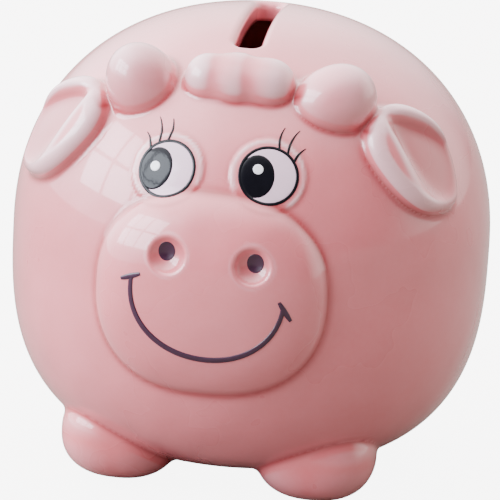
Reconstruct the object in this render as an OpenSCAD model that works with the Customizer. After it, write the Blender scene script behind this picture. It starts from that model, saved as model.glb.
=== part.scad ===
// Round ceramic coin bank in the form of a calf: a hollow cast body with a coin slot in the crown,
// luted-on muzzle, horns, forelock, ears, feet and tail, fired-on face transfers, and a rubber stopper.
// +Z is up, the face looks along -Y, and the origin is on the ground under the middle of the body.

/* [Body] */
// Widest radius of the round body, at its equator
body_r = 48; // [42:0.5:58]
// Height of the crown above the equator
crown_h = 46; // [40:0.5:56]
// Depth of the belly below the equator
belly_h = 45.5; // [40:0.5:56]
// Squareness of the crown's profile (2 is an ellipse)
crown_power = 2.2; // [2:0.1:2.6]
// Squareness of the belly's profile
belly_power = 2.9; // [2.2:0.1:3.4]
// Thickness of the cast wall
wall = 4; // [3:0.25:6]
// Height of the belly above the ground
belly_gap = 1.6; // [1.2:0.1:8]

/* [Coin slot] */
// Length of the coin slot, front to back
slot_l = 30; // [26:0.5:38]
// Width of the coin slot
slot_w = 5; // [3:0.25:8]
// How far the slot's middle lies in front of the body's axis
slot_front = 5; // [0:0.5:6]
// Width of the slope around the slot's mouth
slot_lip = 1.2; // [0.5:0.1:2.5]

/* [Stopper] */
// Radius of the emptying hole in the belly
hole_r = 13; // [10:0.5:14]
// Width of the stopper's flange outside the hole
flange_edge = 3; // [2:0.25:4.5]
// Thickness of the stopper's flange
flange_t = 1.8; // [1.2:0.1:3]
// Depth of the flange's seat, up from the belly's lowest point
seat_depth = 2.4; // [2:0.1:4]
// Thickness of the wall around the hole
hole_wall = 4; // [3:0.25:7]
// Clearance around the flange in its seat
flange_gap = 0.6; // [0.3:0.1:1.5]
// Clearance around the plug in its hole
plug_gap = 0.06; // [0.02:0.01:0.1]
// Clearance between the flange and its seat
seat_gap = 0.05; // [0.02:0.01:0.2]
// Length of plug that stands past the wall, inside the bank
plug_past = 5; // [3:0.5:10]
// Width of the thickened pad around the seat, inside the bank
pad_edge = 1.5; // [1:0.1:3]
// Wall of the hollow plug
plug_wall = 2.5; // [1.5:0.1:4]
// Radius of the finger dish under the stopper
dish_r = 8.5; // [6:0.5:9]
// Depth of the finger dish
dish_depth = 2.6; // [1.5:0.1:4]
// Rubber left between the dish and the hollow of the plug
web_t = 2; // [1:0.1:3]
// Thickness of the pull bar across the dish
grip_t = 3; // [2:0.25:5]

/* [Muzzle] */
// Full width of the muzzle cushion
muzzle_w = 47.5; // [40:0.5:54]
// Full height of the muzzle cushion
muzzle_h = 43; // [34:0.5:48]
// Depth of the cushion, front to middle
muzzle_d = 12; // [9:0.5:16]
// How far the muzzle's front stands past the body
muzzle_rise = 4.6; // [3:0.1:8]
// Height of the muzzle's middle above the equator
muzzle_z = -2.2; // [-6:0.1:6]
// Distance of each nostril from the middle
nostril_x = 8.9; // [6:0.1:12]
// Height of the nostrils above the equator
nostril_z = 7.6; // [3:0.1:12]
// Radius of a nostril dimple at the surface
nostril_r = 2.3; // [1.6:0.1:3]
// Radius of the painted dot in the dimple
dot_r = 1.8; // [1:0.1:2.6]
// Radius of the ball that presses the dimple
dimple_r = 4.2; // [3.2:0.1:6]
// Width of the smile between its ends
smile_w = 31; // [24:0.5:36]
// Drop of the smile from its ends to its middle
smile_drop = 12.4; // [8:0.1:16]
// Height of the smile's ends above the equator
smile_z = -0.4; // [-5:0.1:5]
// Width of the painted line
line_w = 1.2; // [0.5:0.05:1.6]
// Length of the short tick at each end of the smile
tick_l = 4; // [2:0.1:6]
// Turn of each tick from level, rising towards the middle
tick_turn = 42; // [0:1:60]
// Turn of the painted smile, viewer's clockwise
smile_turn = 6; // [-8:0.5:8]

/* [Eyes] */
// Angle of each eye around the body from the front
eye_angle = 12.9; // [9:0.1:18]
// Height of the eyes above the equator
eye_z = 22.1; // [18:0.1:27]
// Outer radius of an eye's outline
eye_r = 5.9; // [4:0.1:7]
// Width of the outline
outline_w = 0.6; // [0.4:0.05:1]
// Width of a pupil
pupil_w = 6.9; // [4:0.1:8]
// Height of a pupil
pupil_h = 8.7; // [5:0.1:9]
// Sideways glance of the pupils, viewer's left
glance = 2.15; // [1.5:0.05:3]
// How far the pupils sit below the middle of the eyes
pupil_drop = 0.35; // [0:0.05:1]
// Radius of the white glint in a pupil
glint_r = 1; // [0.5:0.1:1.5]
// Width of a lash
lash_w = 0.55; // [0.3:0.05:0.8]
// Bow of a lash, as a share of its length
lash_bow = 0.9; // [0.6:0.05:1]
// Thickness of the fired-on colour
film = 0.2; // [0.15:0.05:0.4]

/* [Horns] */
// Angle of each horn around the body from the front
horn_angle = 34; // [26:0.5:40]
// Height of a horn's root above the equator
horn_z = 34.5; // [30:0.5:38]
// Radius of a horn at its root
horn_r = 8; // [5:0.1:9]
// Length of a horn above its root
horn_l = 8.5; // [6:0.5:12]
// Forward lean of a horn from upright
horn_forward = 38; // [20:1:55]
// Outward lean of a horn from upright
horn_outward = 20; // [0:1:30]

/* [Forelock] */
// Width of the forelock
forelock_w = 23; // [16:0.5:28]
// Length of the forelock, front to back
forelock_l = 12; // [9:0.5:15]
// How far the forelock stands up
forelock_rise = 5; // [3:0.25:7]
// Height of its middle above the equator
forelock_z = 37; // [34:0.5:39]

/* [Ears] */
// Angle of each ear around the body from the front
ear_angle = 55; // [50:0.5:62]
// Height of an ear's middle above the equator
ear_z = 23; // [18:0.5:27]
// Length of an ear, root to tip
ear_l = 25; // [20:0.5:30]
// Width of an ear
ear_w = 18.5; // [13:0.5:22]
// How far an ear's rim stands off the body
ear_rise = 4.2; // [3:0.1:6]
// Width of the rolled rim
ear_rim = 3; // [2:0.1:4]
// Thickness of clay left under the ear's hollow
ear_floor = 1.2; // [0.6:0.1:2]
// How far the hollow stops short of the rim, at root and tip
ear_lap = 3; // [1:0.25:5]
// Droop of an ear from level
ear_droop = 50; // [20:1:75]

/* [Feet and tail] */
// Angle of the front feet from the front, and of the rear feet from the back
foot_angle = 45.5; // [38:0.5:50]
// Distance of each foot from the body's axis
foot_reach = 28; // [27:0.5:34]
// How much nearer the middle the front left foot is set
foot_nearer = 5.5; // [0:0.5:8]
// Radius of the flat under a foot
foot_flat = 4.5; // [2:0.25:7]
// Radius of a foot where it is widest
foot_r = 12; // [9:0.1:12.5]
// Height of a foot's widest place
foot_rise = 9; // [6:0.25:11]
// How much a foot narrows again inside the body
foot_draw = 6; // [2:0.5:8]
// Bend radius of the curled tail
tail_bend = 6.5; // [5:0.5:9]
// Thickness radius of the tail
tail_r = 2.4; // [1.6:0.1:3.2]
// Height of the tail's middle above the equator
tail_z = 4; // [0:0.5:12]
// Turn at which the tail leaves the body, from the animal's right
tail_start = -60; // [-90:5:0]
// Turn through which the tail curls
tail_sweep = 230; // [150:5:280]
// Full width of the tail's tuft
tuft_w = 7.4; // [5:0.1:9]
// Full length of the tail's tuft
tuft_l = 11; // [8:0.5:14]
// How far the tail's middle line stands off the body
tail_off = 1.8; // [0.8:0.1:2.4]

/* [Hidden] */
$fn = 48;
clay = "#dba0a4";
clay_light = "#e6b4b6";
ink = "#2a1a2c";
paint_white = "#efe9f4";
equator_z = belly_gap + belly_h;
seat_z = belly_gap + seat_depth;
hole_top = seat_z + hole_wall;
flange_r = hole_r + flange_edge;
seat_r = flange_r + flange_gap;
plug_r = hole_r - plug_gap;
flange_top = seat_z - seat_gap;
flange_bottom = flange_top - flange_t;
plug_top = hole_top + plug_past;
plug_lead = 1.2;
plug_lead_h = 3;
flange_cut = 0.6;
web_z = flange_bottom + dish_depth + web_t;
steps = 20;
edge_steps = 6;
reach_in = 8;
reach_out = 16;
muzzle_y = muzzle_d - body_r - muzzle_rise;
// The lashes of one eye: [angle out from upright, length]
lashes = [[17, 4.4], [36, 5.2], [56, 3.4]];
// The puffs of the forelock: [place across it, share of its width, share of its rise]
puffs = [[-0.26, 0.5, 0.92], [0.02, 0.46, 1], [0.27, 0.48, 0.9]];

// The body's form
function crown_at(t, out) = [(body_r + out) * pow(cos(t), 2 / crown_power),
                             (crown_h + out) * pow(sin(t), 2 / crown_power)];
function belly_at(t, out) = [(body_r + out) * pow(cos(t), 2 / belly_power),
                             -(belly_h + out) * pow(sin(t), 2 / belly_power)];
function form_points(out) = concat(
    [for (i = [0 : steps]) belly_at(90 - 90 * i / steps, out)],
    [for (i = [1 : steps]) crown_at(90 * i / steps, out)]);
// Radius of the body at a height above the equator
function radius_at(h) = body_r * pow(1 - pow(h / crown_h, crown_power), 1 / crown_power);
// Upward tilt of the body's surface at that height
function tilt_at(h) = atan2(pow(h / crown_h, crown_power - 1) / crown_h,
                            pow(radius_at(h) / body_r, crown_power - 1) / body_r);

// The body as a solid, grown outwards by a distance
module form(out) {
    translate([0, 0, equator_z]) rotate_extrude($fn = 96) polygon(form_points(out));
}

// Puts its children on the body's surface, with their Z pointing straight out of it
module on_body(angle, h) {
    translate([0, 0, equator_z]) rotate([0, 0, angle]) translate([0, -radius_at(h), h])
        rotate([90 - tilt_at(h), 0, 0]) children();
}

// A layer of the body's surface inside an outline that is drawn flat against it
module layer(angle, h, low, high) {
    intersection() {
        difference() {
            form(high);
            form(low);
        }
        on_body(angle, h) translate([0, 0, -reach_in]) linear_extrude(reach_out) children();
    }
}

module oval(w, h, n = 40) {
    polygon([for (i = [0 : n - 1]) [w / 2 * cos(360 * i / n), h / 2 * sin(360 * i / n)]]);
}

module ball(w, d, h) {
    scale([w / 2, d / 2, h / 2]) sphere(1);
}

// Body shell
module slot_cut() {
    top = equator_z + crown_h;
    low = top - wall - reach_in;
    translate([0, -slot_front, 0]) {
        translate([-slot_w / 2, -slot_l / 2, low]) cube([slot_w, slot_l, top + 1 - low]);
        // the slopes along the two long sides
        translate([0, slot_l / 2, top]) rotate([90, 0, 0]) linear_extrude(slot_l)
            polygon([[-slot_w / 2, -slot_lip], [slot_w / 2, -slot_lip],
                     [slot_w / 2 + 2 * slot_lip, slot_lip], [-slot_w / 2 - 2 * slot_lip, slot_lip]]);
    }
}

module body_shell() {
    color(clay) difference() {
        form(0);
        difference() {
            form(-wall);
            cylinder(h = hole_top, r = seat_r + pad_edge);
        }
        slot_cut();
        cylinder(h = seat_z, r = seat_r);
        cylinder(h = hole_top + 1, r = hole_r);
    }
}

// Muzzle
module muzzle_ball(out) {
    translate([0, muzzle_y, equator_z + muzzle_z])
        ball(muzzle_w + 2 * out, 2 * muzzle_d + 2 * out, muzzle_h + 2 * out);
}

// Depth of the muzzle's surface at a place seen from the front
function muzzle_front(x, z) = muzzle_y
    - muzzle_d * sqrt(1 - pow(2 * x / muzzle_w, 2) - pow(2 * (z - muzzle_z) / muzzle_h, 2));
dimple_in = sqrt(dimple_r * dimple_r - nostril_r * nostril_r);

module dimple(side, r) {
    translate([side * nostril_x, muzzle_front(nostril_x, nostril_z) - dimple_in, equator_z + nostril_z])
        sphere(r);
}

module muzzle() {
    color(clay_light) difference() {
        muzzle_ball(0);
        form(0);
        dimple(1, dimple_r);
        dimple(-1, dimple_r);
    }
}

module nostril(side) {
    color(ink) intersection() {
        difference() {
            dimple(side, dimple_r);
            dimple(side, dimple_r - film);
        }
        translate([side * nostril_x, muzzle_front(nostril_x, nostril_z) - dimple_in, equator_z + nostril_z])
            rotate([-90, 0, 0]) cylinder(h = 2 * dimple_r, r = dot_r);
    }
}

// Smile
function smile_at(t, out) = [(smile_w / 2 + out) * cos(t), -(smile_drop + out) * sin(t)];
module smile_outline() {
    half = line_w / 2;
    polygon(concat([for (i = [0 : 24]) smile_at(180 * i / 24, half)],
                   [for (i = [24 : -1 : 0]) smile_at(180 * i / 24, -half)]));
    for (side = [-1, 1])
        translate([side * smile_w / 2, line_w / 3]) rotate(-side * tick_turn)
            square([tick_l, line_w], center = true);
}

module smile() {
    color(ink) intersection() {
        difference() {
            muzzle_ball(film);
            muzzle_ball(0);
        }
        translate([0, muzzle_y, equator_z + smile_z]) rotate([90, 0, 0]) linear_extrude(reach_out + muzzle_d)
            rotate(-smile_turn) smile_outline();
    }
}

// Eyes
eye_in_r = eye_r - outline_w;
module pupil_outline() {
    intersection() {
        translate([-glance, -pupil_drop]) oval(pupil_w, pupil_h);
        circle(eye_in_r);
    }
}

module glint_outline() {
    translate([-glance, 0]) circle(glint_r);
}

// A lash is a short arc, cut from a ring as wide as the lash is long, that starts in the outline
module lash(side, angle, length) {
    bow = length * lash_bow;
    rotate(-side * angle) translate([side * (bow - length), eye_in_r + outline_w / 4]) difference() {
        translate([side * bow, length / 2]) circle(length);
        translate([side * bow, length / 2]) circle(length - lash_w);
        translate([-2 * length, -3 * length]) square([4 * length, 3 * length]);
        translate([-2 * length, length]) square([4 * length, 3 * length]);
        translate([side > 0 ? bow : -bow - 4 * length, -length]) square([4 * length, 4 * length]);
    }
}

module eye_white(side) {
    color(paint_white) layer(side * eye_angle, eye_z, 0, film) difference() {
        circle(eye_in_r);
        pupil_outline();
    }
}

module pupil(side) {
    color(ink) layer(side * eye_angle, eye_z, 0, film) difference() {
        pupil_outline();
        glint_outline();
    }
}

module glint(side) {
    color("white") layer(side * eye_angle, eye_z, 0, film) glint_outline();
}

module eye_line(side) {
    color(ink) layer(side * eye_angle, eye_z, 0, film) {
        difference() {
            circle(eye_r);
            circle(eye_in_r);
        }
        difference() {
            for (l = lashes) lash(side, l[0], l[1]);
            circle(eye_in_r);
        }
    }
}

// Horns
module horn(side) {
    root_in = horn_r / 2;
    color(clay_light) difference() {
        on_body(side * horn_angle, horn_z) rotate([tilt_at(horn_z) - 90, 0, 0]) rotate([0, 0, -side * horn_angle])
            rotate([horn_forward, side * horn_outward, 0]) translate([0, 0, -root_in]) rotate_extrude()
                polygon(concat([[0, 0]], [for (i = [0 : 12])
                    [horn_r * cos(90 * i / 12), (horn_l + root_in) * sin(90 * i / 12)]]));
        form(0);
    }
}

// Forelock
module forelock() {
    color(clay_light) difference() {
        on_body(0, forelock_z) for (p = puffs) translate([p[0] * forelock_w, 0, 0])
            ball(p[1] * forelock_w, forelock_l, 2 * p[2] * forelock_rise);
        form(0);
    }
}

// Ears
module leaf(l, w) {
    polygon([for (i = [0 : 31]) let (t = 360 * i / 32)
        [l / 2 * cos(t), w / 2 * sin(t) * (1 - 0.22 * pow(cos(t), 3))]]);
}

module ear(side) {
    turn = side > 0 ? -ear_droop : 180 + ear_droop;
    color(clay_light) difference() {
        layer(side * ear_angle, ear_z, 0, ear_rise) rotate(turn) leaf(ear_l, ear_w);
        layer(side * ear_angle, ear_z, ear_floor, ear_rise + 1)
            rotate(turn) translate([ear_lap / 3, side * -ear_lap / 6])
                leaf(ear_l - 2 * ear_rim - ear_lap, ear_w - 2 * ear_rim - ear_lap * 2 / 3);
    }
}

// Feet
module foot(angle) {
    root_h = 3 * foot_rise;
    color(clay) difference() {
        rotate([0, 0, angle]) translate([0, -foot_reach, 0]) rotate_extrude()
            polygon(concat([[0, 0]], [for (i = [0 : edge_steps]) let (t = 90 * i / edge_steps)
                [foot_flat + (foot_r - foot_flat) * sin(t), foot_rise * (1 - cos(t))]],
                [[foot_r - foot_draw, root_h], [0, root_h]]));
        form(0);
    }
}

// Tail
module tail() {
    color(clay_light) difference() {
        on_body(180, tail_z) translate([0, 0, tail_off]) {
            rotate(tail_start) rotate_extrude(angle = tail_sweep) translate([tail_bend, 0]) circle(tail_r);
            // the root and the tuft are a little fatter than the rope, and a little off its middle
            rotate(tail_start) translate([tail_bend, 0, tail_r / 12]) sphere(tail_r * 1.2);
            rotate(tail_start + tail_sweep) translate([tail_bend, -tail_r, tail_r / 24])
                ball(tuft_w, tuft_l, 2.6 * tail_r);
        }
        form(0);
    }
}

// Stopper
module stopper() {
    color("#c9b3ae") difference() {
        rotate_extrude() polygon([[0, flange_bottom], [flange_r - flange_cut, flange_bottom],
            [flange_r, flange_bottom + flange_cut], [flange_r, flange_top], [plug_r, flange_top],
            [plug_r, plug_top - plug_lead_h], [plug_r - plug_lead, plug_top], [0, plug_top]]);
        translate([0, 0, web_z]) cylinder(h = plug_top, r = plug_r - plug_wall);
        difference() {
            cylinder(h = flange_bottom + dish_depth, r = dish_r);
            translate([-grip_t / 2, -dish_r - 1, 0]) cube([grip_t, 2 * dish_r + 2, plug_top]);
        }
    }
}

body_shell();
muzzle();
horn(1);  // left_horn
horn(-1);  // right_horn
forelock();
ear(1);  // left_ear
ear(-1);  // right_ear
foot(foot_angle - foot_nearer);  // front_left_foot
foot(-foot_angle);  // front_right_foot
foot(180 - foot_angle);  // rear_left_foot
foot(180 + foot_angle);  // rear_right_foot
tail();
eye_white(1);  // left_eye_white
eye_white(-1);  // right_eye_white
pupil(1);  // left_pupil
pupil(-1);  // right_pupil
glint(1);  // left_glint
glint(-1);  // right_glint
eye_line(1);  // left_eye_line
eye_line(-1);  // right_eye_line
nostril(1);  // left_nostril
nostril(-1);  // right_nostril
smile();
stopper();
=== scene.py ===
import math

import bpy
import numpy as np
from mathutils import Matrix, Vector


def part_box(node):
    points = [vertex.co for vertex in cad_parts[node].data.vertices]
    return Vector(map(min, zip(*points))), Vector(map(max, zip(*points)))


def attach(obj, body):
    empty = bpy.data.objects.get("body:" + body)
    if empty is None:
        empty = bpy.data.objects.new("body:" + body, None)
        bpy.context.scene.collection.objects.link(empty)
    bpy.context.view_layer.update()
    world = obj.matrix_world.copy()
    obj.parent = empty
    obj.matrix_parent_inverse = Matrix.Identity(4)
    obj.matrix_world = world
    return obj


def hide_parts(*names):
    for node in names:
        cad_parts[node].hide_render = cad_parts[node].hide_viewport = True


# A round glazed calf bank. The clay pieces are meshed from one shared set of distance fields, in
# millimetres, so each runs into its neighbours under the glaze as luted clay does, and stays its own piece.

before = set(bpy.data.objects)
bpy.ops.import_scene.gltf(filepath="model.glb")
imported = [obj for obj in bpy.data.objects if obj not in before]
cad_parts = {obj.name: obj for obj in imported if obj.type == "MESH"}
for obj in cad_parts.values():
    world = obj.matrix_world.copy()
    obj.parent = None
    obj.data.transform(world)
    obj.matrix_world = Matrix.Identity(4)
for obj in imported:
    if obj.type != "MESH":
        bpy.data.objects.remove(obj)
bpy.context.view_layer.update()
mm = 0.001


def boxOf(node):
    low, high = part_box(node)
    return np.array(low) / mm, np.array(high) / mm


def middleOf(node):
    low, high = boxOf(node)
    return (low + high) / 2


# the body's plan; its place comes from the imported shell
bodyPlan = {
    "equatorShare": 0.4973,  # height of the widest ring, as a share of the shell's height
    "crownPower": 2.2,       # 2 is an ellipse, more is squarer
    "bellyPower": 2.9,
    "wall": 4.0,
    "slotLong": 30.0,
    "slotWide": 5.0,
    "slotFront": 5.0,        # how far the slot's middle lies in front of the body's axis
    "slotCorner": 1.9,
    "lipRound": 1.7,
    "holeR": 13.0,
    "seatR": 16.6,
    "seatDepth": 2.4,
    "holeWall": 4.0,
}
shellLow, shellHigh = boxOf("body_shell")
bodyR = (shellHigh[0] - shellLow[0]) / 2
equatorZ = shellLow[2] + bodyPlan["equatorShare"] * (shellHigh[2] - shellLow[2])
crownH = shellHigh[2] - equatorZ
bellyH = equatorZ - shellLow[2]


def addObject(name, data):
    thing = bpy.data.objects.new(name, data)
    bpy.context.collection.objects.link(thing)
    return thing


cameraPlan = {"azimuth": 8.4, "elevation": 15.0, "roll": -3.24, "distance": 993.0, "lens": 354.7,
              "aimBelow": 4.2, "aimSide": -0.1}


def makeCamera(plan):
    azimuth, elevation, roll = (math.radians(plan[k]) for k in ("azimuth", "elevation", "roll"))
    back = Vector((math.sin(azimuth) * math.cos(elevation), -math.cos(azimuth) * math.cos(elevation),
                   math.sin(elevation)))
    right = Vector((math.cos(azimuth), math.sin(azimuth), 0))
    up = back.cross(right)
    aim = Vector((0, 0, equatorZ)) - up * plan["aimBelow"] + right * plan["aimSide"]
    turned = Matrix((right * math.cos(roll) - up * math.sin(roll),
                     right * math.sin(roll) + up * math.cos(roll), back)).transposed()
    data = bpy.data.cameras.new("camera")
    data.lens = plan["lens"]
    camera = addObject("camera", data)
    camera.matrix_world = Matrix.Translation((aim + back * plan["distance"]) * mm) @ turned.to_4x4()
    bpy.context.scene.camera = camera


makeCamera(cameraPlan)
print("camera placed")


# distances, in millimetres: below nought is clay
def ballDistance(p, middle, radii, power=2.0, turn=None):
    q = p - middle
    if turn is not None:
        q = q @ turn
    s = np.abs(q) / radii
    g = np.maximum((s ** power).sum(1) ** (1 / power), 1e-4)
    slope = g ** (1 - power) * np.sqrt(((s ** (power - 1) / radii) ** 2).sum(1))
    return (g - 1) / np.maximum(slope, 1e-4)


def bodyDistance(p):
    z = p[:, 2] - equatorZ
    power = np.where(z > 0, bodyPlan["crownPower"], bodyPlan["bellyPower"])
    tall = np.where(z > 0, crownH, bellyH)
    a, b = np.hypot(p[:, 0], p[:, 1]) / bodyR, np.abs(z) / tall
    g = np.maximum((a ** power + b ** power) ** (1 / power), 1e-4)
    slope = g ** (1 - power) * np.hypot(a ** (power - 1) / bodyR, b ** (power - 1) / tall)
    return (g - 1) / np.maximum(slope, 1e-4)


def smoothMin(a, b, blend):
    h = np.maximum(blend - np.abs(a - b), 0)
    return np.minimum(a, b) - h * h / (4 * blend)


def smoothMax(a, b, blend):
    return -smoothMin(-a, -b, blend)


def smoothStep(x, low, high):
    t = np.clip((x - low) / (high - low), 0, 1)
    return t * t * (3 - 2 * t)


def radiusAt(height):
    power, tall = (bodyPlan["crownPower"], crownH) if height > 0 else (bodyPlan["bellyPower"], bellyH)
    return bodyR * (1 - (abs(height) / tall) ** power) ** (1 / power)


def gradient(field, p, step=0.05):
    return np.stack([(field(p + step * e) - field(p - step * e)) / (2 * step) for e in np.eye(3)], 1)


class Seat:
    # a place on the body's surface, with its own across, up and out directions
    def __init__(self, angle, height):
        self.origin = np.array([0, 0, equatorZ]) + np.array(
            [radiusAt(height) * math.sin(angle), -radiusAt(height) * math.cos(angle), height])
        self.out = gradient(bodyDistance, self.origin[None])[0]
        self.out /= np.linalg.norm(self.out)
        self.across = np.array([math.cos(angle), math.sin(angle), 0])
        self.up = np.cross(self.out, self.across)

    def turned(self, degrees):
        a = math.radians(degrees)
        return (self.across * math.cos(a) + self.up * math.sin(a),
                self.up * math.cos(a) - self.across * math.sin(a))

    def local(self, p, long, wide):
        return (p - self.origin) @ long, (p - self.origin) @ wide


def seatOf(node):
    middle = middleOf(node)
    return Seat(math.atan2(middle[0], -middle[1]), middle[2] - equatorZ)


# muzzle
muzzlePlan = {
    "halfWide": 22.9, "halfHigh": 21.2, "depth": 12.0,
    "middleX": -0.9, "drop": 1.9, "power": 2.3, "blend": 0.8,
    "dimpleBall": 4.2, "dimpleR": 1.9, "dimpleOut": 0.4, "dimpleBlend": 0.5,
}
muzzleRadii = np.array([muzzlePlan["halfWide"], muzzlePlan["depth"], muzzlePlan["halfHigh"]])
muzzleMiddle = np.array([muzzlePlan["middleX"], boxOf("muzzle")[0][1] + muzzlePlan["depth"],
                         equatorZ - muzzlePlan["drop"]])


def muzzleDistance(p):
    return ballDistance(p, muzzleMiddle, muzzleRadii, muzzlePlan["power"])


nostrilShift = {"left_nostril": np.array([-0.5, 0, -0.8]), "right_nostril": np.zeros(3)}


def dimples(p):
    far = np.full(len(p), 1e3)
    lift = math.sqrt(muzzlePlan["dimpleBall"] ** 2 - muzzlePlan["dimpleR"] ** 2)
    for node in ("left_nostril", "right_nostril"):
        middle = middleOf(node) + nostrilShift[node]
        middle[1] -= lift - muzzlePlan["dimpleOut"]
        far = np.minimum(far, np.linalg.norm(p - middle, axis=1) - muzzlePlan["dimpleBall"])
    return far


# horns, each a broad root with a smaller ball melted into it
hornPlan = {"angle": 34.0, "height": 34.5, "sink": 1.0, "forward": 0.3, "rise": 0.9, "join": 6.0,
            "blend": 1.3}
hornShapes = {1: {"root": (8.2, 6.7, 6.7), "tipR": 4.3, "reach": 4.1, "outward": 0.9},
              -1: {"root": (7.2, 7.0, 7.0), "tipR": 4.0, "reach": 4.8, "outward": 0.45}}


def hornDistance(side):
    shape = hornShapes[side]
    seat = Seat(math.radians(side * hornPlan["angle"]), hornPlan["height"])
    turn = np.stack([seat.across, seat.up, seat.out], 1)
    lean = np.array([side * shape["outward"], -hornPlan["forward"], hornPlan["rise"]])
    lean /= np.linalg.norm(lean)
    foot = seat.origin - seat.out * hornPlan["sink"]
    tip = foot + lean * shape["reach"]
    return lambda p: smoothMin(ballDistance(p, foot, np.array(shape["root"]), 2.0, turn),
                               np.linalg.norm(p - tip, axis=1) - shape["tipR"], hornPlan["join"])


# forelock: a base and three puffs, each given as its place across and up, half width and half length
forelockPlan = {
    "height": 36.8, "blend": 1.5, "join": 2.2, "rise": 4.7, "basePower": 2.2, "puffPower": 2.1,
    "base": (9.9, 4.6, 4.1), "baseAt": (0.6, 1.0),
    "puffs": [(-5.9, 1.1, 4.1, 4.4), (-0.1, 1.1, 4.5, 5.4), (6.4, 0.8, 4.7, 4.8)],
}


def forelockDistance(p):
    plan = forelockPlan
    seat = Seat(0, plan["height"])
    turn = np.stack([seat.across, seat.up, seat.out], 1)

    def lump(place, radii, power):
        middle = seat.origin + place[0] * seat.across + place[1] * seat.up
        return ballDistance(p, middle, np.array(radii), power, turn)

    far = lump(plan["baseAt"], plan["base"], plan["basePower"])
    for across, up, wide, long in plan["puffs"]:
        far = smoothMin(far, lump((across, up), (wide, long, plan["rise"]), plan["puffPower"]), plan["join"])
    return far


# ears
earPlan = {
    "droop": -50.0, "halfLong": 12.6, "halfWide": 9.2, "narrowing": 0.22,
    "rim": 4.2, "rimTilt": 0.12, "edgeRound": 2.0, "blend": 1.1,
    "hollowAt": (1.0, 1.6), "hollowLong": 10.6, "hollowWide": 6.0, "hollowTaper": 0.5,
    "hollowDeep": 4.4, "hollowLift": 0.4, "hollowBlend": 2.3, "floorDeep": 2.5, "floorBlend": 1.0,
}


def earPlace(side):
    seat = seatOf("left_ear" if side > 0 else "right_ear")
    # long runs from the root to the tip, wide from the lower rim to the upper one
    long, wide = seat.turned(earPlan["droop"] if side > 0 else 180 - earPlan["droop"])
    return seat, long, wide * side


def earParts(p, side):
    # the leaf-shaped slab, the hollow in it, and the depth below the rim
    plan = earPlan
    seat, long, wide = earPlace(side)
    u, v = seat.local(p, long, wide)
    height = bodyDistance(p)
    along = np.clip(u / plan["halfLong"], -1.2, 1.2)
    spread = plan["halfWide"] * (1 - plan["narrowing"] * along ** 3)
    g = np.sqrt((u / plan["halfLong"]) ** 2 + (v / spread) ** 2)
    edge = (g - 1) * np.minimum(plan["halfLong"], spread)
    depth = plan["rim"] * (1 + plan["rimTilt"] * v / plan["halfWide"]) - height
    a, b = edge + plan["edgeRound"], plan["edgeRound"] - depth
    slab = np.minimum(np.maximum(a, b), 0) + np.hypot(np.maximum(a, 0), np.maximum(b, 0)) - plan["edgeRound"]
    hu, hv = u - plan["hollowAt"][0], v - plan["hollowAt"][1]
    narrow = plan["hollowWide"] * (1 + plan["hollowTaper"] * np.clip(hu / plan["hollowLong"], -1, 1))
    h = np.sqrt((hu / plan["hollowLong"]) ** 2 + (hv / narrow) ** 2
                + ((depth + plan["hollowLift"]) / plan["hollowDeep"]) ** 2)
    hollow = smoothMax((h - 1) * plan["hollowDeep"], depth - plan["floorDeep"], plan["floorBlend"])
    return slab, hollow, depth


def earDistance(side):
    def distance(p):
        slab, hollow, _ = earParts(p, side)
        return smoothMax(slab, -hollow, earPlan["hollowBlend"])
    return distance


# feet
footPlan = {"radius": 12.0, "power": 2.35, "middleZ": 9.2, "tallR": 9.2, "blend": 1.4,
            "soleRound": 0.5, "soleDrop": 0.12, "bareTo": (0.25, 0.9)}


def footDistance(node):
    middle = middleOf(node)
    middle[2] = footPlan["middleZ"]
    radii = np.array([footPlan["radius"], footPlan["radius"], footPlan["tallR"]])

    def distance(p):
        ball = ballDistance(p, middle, radii, footPlan["power"])
        return smoothMax(ball, -p[:, 2] - footPlan["soleDrop"], footPlan["soleRound"])
    return distance


# tail
tailPlan = {"bend": 6.5, "radius": 2.3, "off": 1.7, "start": -60.0, "sweep": 230.0, "blend": 1.3,
            "rootThick": 1.15, "thinning": 0.35,
            "tuft": (3.4, 5.6, 2.9), "tuftPower": 1.8, "tuftAt": 170.0, "tuftBack": 2.5, "tuftBlend": 1.0}


def tailDistance(p):
    plan = tailPlan
    low, high = boxOf("tail")
    seat = Seat(math.pi, (low[2] + high[2]) / 2 - equatorZ)
    u, v = seat.local(p, seat.across, seat.up)
    height = bodyDistance(p) - plan["off"]
    start, sweep = math.radians(plan["start"]), math.radians(plan["sweep"])
    along = (np.arctan2(v, u) - start) % (2 * math.pi)
    along = np.where(along > sweep + (2 * math.pi - sweep) / 2, 0, np.minimum(along, sweep))
    near = np.stack([np.cos(start + along), np.sin(start + along)]) * plan["bend"]
    thick = plan["radius"] * (plan["rootThick"] - plan["thinning"] * along / sweep)
    rope = np.sqrt((u - near[0]) ** 2 + (v - near[1]) ** 2 + height ** 2) - thick
    at = math.radians(plan["tuftAt"])
    tuftU, tuftV = plan["bend"] * math.cos(at), plan["bend"] * math.sin(at) - plan["tuftBack"]
    q = np.stack([u - tuftU, v - tuftV, height], 1)
    tuft = ballDistance(q, np.zeros(3), np.array(plan["tuft"]), plan["tuftPower"])
    return smoothMin(rope, tuft, plan["tuftBlend"])


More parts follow.
